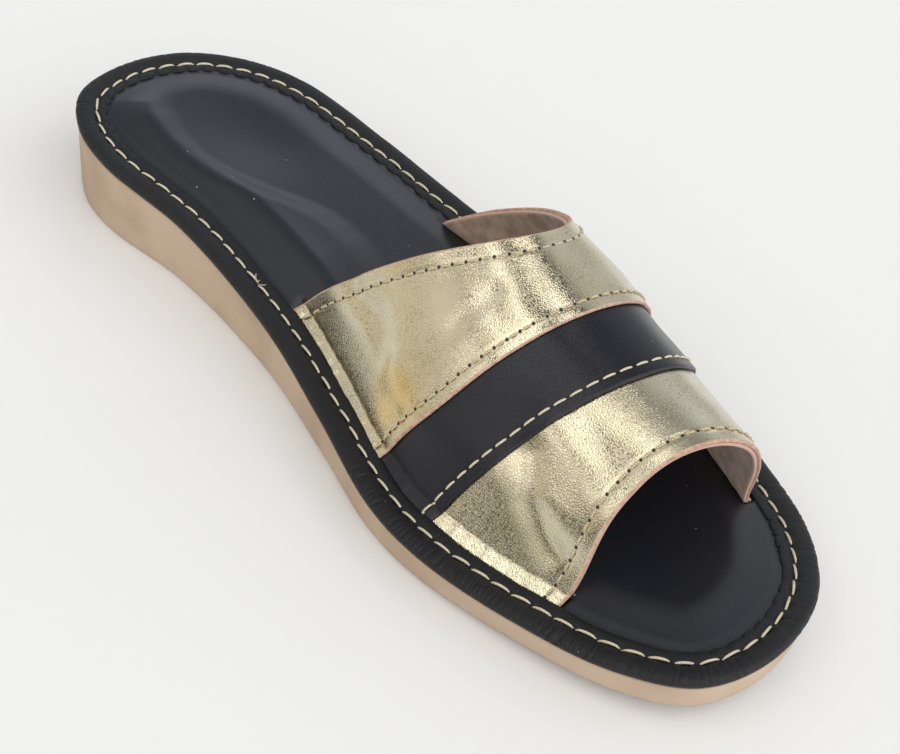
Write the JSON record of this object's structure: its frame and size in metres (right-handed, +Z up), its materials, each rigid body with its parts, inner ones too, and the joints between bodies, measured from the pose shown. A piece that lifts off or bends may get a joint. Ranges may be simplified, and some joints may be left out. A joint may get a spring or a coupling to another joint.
{
  "type": "open-toe leather slide, left foot",
  "caption": "Backless open-toe slide for the left foot: beige wedge sole, padded black insole, stitched rim strip and an arched upper of gold and black leather bands.",
  "frame": {"origin": "On the floor, under the middle of the shoe's box in plan.", "axes": "+X to the toe, +Y to the wearer's left (the outer side of this left shoe), +Z up."},
  "size_m": [0.26, 0.1048, 0.0634],
  "materials": {
    "sole": "matte",
    "black_leather": "satin",
    "insole_leather": "satin",
    "gold_leather": "metallic satin",
    "lining": "suede",
    "thread": "matte"
  },
  "bodies": {
    "root": {"outsole": "sole", "rim_strip": "black_leather", "insole": "insole_leather", "upper": "lining", "middle_band": "black_leather", "rear_band": "gold_leather"}
  },
  "joints": []
}
